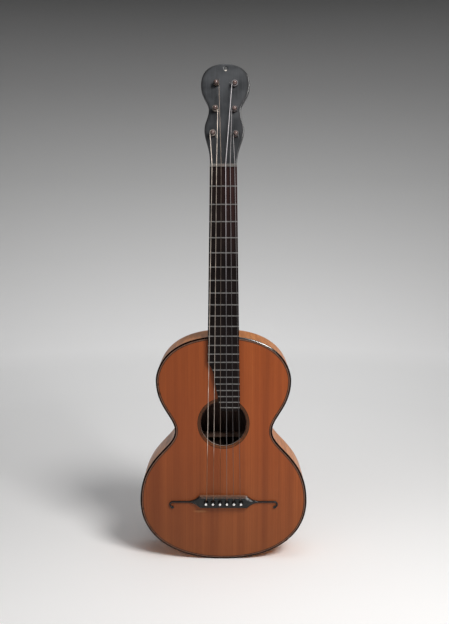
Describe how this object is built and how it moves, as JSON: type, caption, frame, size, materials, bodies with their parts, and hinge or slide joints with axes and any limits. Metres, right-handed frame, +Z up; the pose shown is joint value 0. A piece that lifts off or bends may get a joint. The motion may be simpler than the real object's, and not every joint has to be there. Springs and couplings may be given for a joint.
{
  "type": "guitar",
  "caption": "Small six-string romantic guitar, figure-eight body and head, raised cutaway fingerboard, friction pegs, pin bridge with curled arms.",
  "frame": {"origin": "bottom middle of the bounding box: the lowest edge of the body's tail, half way between the bridge pins' heads and the back", "axes": "+Z up along the neck, -Y out of the soundboard towards the player's front, +X to the treble side"},
  "size_m": [0.314, 0.1062, 0.9203],
  "materials": {
    "spruce_top": "aged orange-brown varnish on straight-grained softwood",
    "maple": "golden varnish on flamed hardwood",
    "ebonised_wood": "black stained, satin polish",
    "ebony": "very dark brown, oiled",
    "inner_wood": "bare softwood",
    "bone": "old bone, browned and worn",
    "fret_metal": "worn white metal",
    "peg_wood": "polished brown-red hardwood",
    "gut": "smooth pale gut",
    "wound_silk": "fine wire wound on silk"
  },
  "bodies": {
    "guitar": {"soundboard": "spruce_top", "back_plate": "maple", "rib_bass": "maple", "rib_treble": "maple", "front_binding": "ebony", "back_binding": "ebony", "front_lining": "inner_wood", "back_lining": "inner_wood", "neck_block": "inner_wood", "tail_block": "inner_wood", "top_brace_upper": "inner_wood", "top_brace_lower": "inner_wood", "back_brace_upper": "inner_wood", "back_brace_lower": "inner_wood", "neck": "ebonised_wood", "headstock": "ebonised_wood", "fingerboard": "ebony", "fret_01": "fret_metal", "fret_02": "fret_metal", "fret_03": "fret_metal", "fret_04": "fret_metal", "fret_05": "fret_metal", "fret_06": "fret_metal", "fret_07": "fret_metal", "fret_08": "fret_metal", "fret_09": "fret_metal", "fret_10": "fret_metal", "fret_11": "fret_metal", "fret_12": "fret_metal", "fret_13": "fret_metal", "fret_14": "fret_metal", "fret_15": "fret_metal", "fret_16": "fret_metal", "fret_17": "fret_metal", "fret_18": "fret_metal", "fret_19": "fret_metal", "fret_20": "fret_metal", "fret_21": "fret_metal", "fret_22": "fret_metal", "nut": "bone", "bridge": "ebonised_wood", "saddle": "bone", "string_6": "wound_silk", "string_5": "wound_silk", "string_4": "wound_silk", "string_3": "gut", "string_2": "gut", "string_1": "gut"},
    "peg_6": {"peg_6": "peg_wood"},
    "peg_5": {"peg_5": "peg_wood"},
    "peg_4": {"peg_4": "peg_wood"},
    "peg_3": {"peg_3": "peg_wood"},
    "peg_2": {"peg_2": "peg_wood"},
    "peg_1": {"peg_1": "peg_wood"},
    "bridge_pin_6": {"bridge_pin_6": "ebony"},
    "bridge_pin_5": {"bridge_pin_5": "ebony"},
    "bridge_pin_4": {"bridge_pin_4": "ebony"},
    "bridge_pin_3": {"bridge_pin_3": "ebony"},
    "bridge_pin_2": {"bridge_pin_2": "ebony"},
    "bridge_pin_1": {"bridge_pin_1": "ebony"}
  },
  "joints": [
    {"name": "peg_6_turn", "type": "hinge", "parent": "guitar", "child": "peg_6", "pos_m": [-0.01918, -0.02786, 0.7945], "axis": [0, -0.9781, 0.2079], "continuous": true},
    {"name": "peg_5_turn", "type": "hinge", "parent": "guitar", "child": "peg_5", "pos_m": [-0.01478, -0.01856, 0.83826], "axis": [0, -0.9781, 0.2079], "continuous": true},
    {"name": "peg_4_turn", "type": "hinge", "parent": "guitar", "child": "peg_4", "pos_m": [-0.01304, -0.00886, 0.88388], "axis": [0, -0.9781, 0.2079], "continuous": true},
    {"name": "peg_3_turn", "type": "hinge", "parent": "guitar", "child": "peg_3", "pos_m": [0.02014, -0.00903, 0.88309], "axis": [0, -0.9781, 0.2079], "continuous": true},
    {"name": "peg_2_turn", "type": "hinge", "parent": "guitar", "child": "peg_2", "pos_m": [0.01961, -0.01874, 0.83744], "axis": [0, -0.9781, 0.2079], "continuous": true},
    {"name": "peg_1_turn", "type": "hinge", "parent": "guitar", "child": "peg_1", "pos_m": [0.02181, -0.02807, 0.79352], "axis": [0, -0.9781, 0.2079], "continuous": true},
    {"name": "bridge_pin_6_pull", "type": "slide", "parent": "guitar", "child": "bridge_pin_6", "axis": [0, -1, 0], "range_m": [0, 0.0245]},
    {"name": "bridge_pin_5_pull", "type": "slide", "parent": "guitar", "child": "bridge_pin_5", "axis": [0, -1, 0], "range_m": [0, 0.0245]},
    {"name": "bridge_pin_4_pull", "type": "slide", "parent": "guitar", "child": "bridge_pin_4", "axis": [0, -1, 0], "range_m": [0, 0.0245]},
    {"name": "bridge_pin_3_pull", "type": "slide", "parent": "guitar", "child": "bridge_pin_3", "axis": [0, -1, 0], "range_m": [0, 0.0245]},
    {"name": "bridge_pin_2_pull", "type": "slide", "parent": "guitar", "child": "bridge_pin_2", "axis": [0, -1, 0], "range_m": [0, 0.0245]},
    {"name": "bridge_pin_1_pull", "type": "slide", "parent": "guitar", "child": "bridge_pin_1", "axis": [0, -1, 0], "range_m": [0, 0.0245]}
  ]
}
